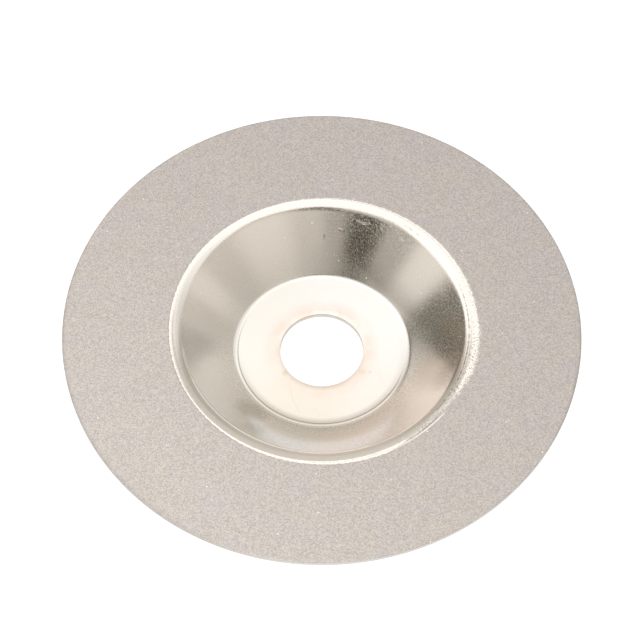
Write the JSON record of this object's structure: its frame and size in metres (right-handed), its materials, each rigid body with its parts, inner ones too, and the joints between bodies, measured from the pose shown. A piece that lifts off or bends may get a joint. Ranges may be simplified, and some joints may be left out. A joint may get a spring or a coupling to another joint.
{
  "type": "diamond grinding wheel",
  "caption": "Dished diamond grinding wheel: a flat coated rim face, a sloping bright cone wall and a flat sunken hub with a central arbor bore.",
  "frame": {"origin": "centre of the arbor bore at the hub's back face, on which the wheel stands", "axes": "+Z along the spindle axis, from the hub's back face towards the diamond face; +X and +Y are free, because the wheel is round"},
  "size_m": [0.1, 0.1, 0.0105],
  "materials": {
    "steel": "satin",
    "bright_nickel": "satin",
    "bond_nickel": "matte",
    "diamond": "gloss"
  },
  "bodies": {
    "root": {"steel_blank": "steel", "nickel_plating": "bright_nickel", "nickel_bond": "bond_nickel", "diamond_grit": "diamond"}
  },
  "joints": []
}
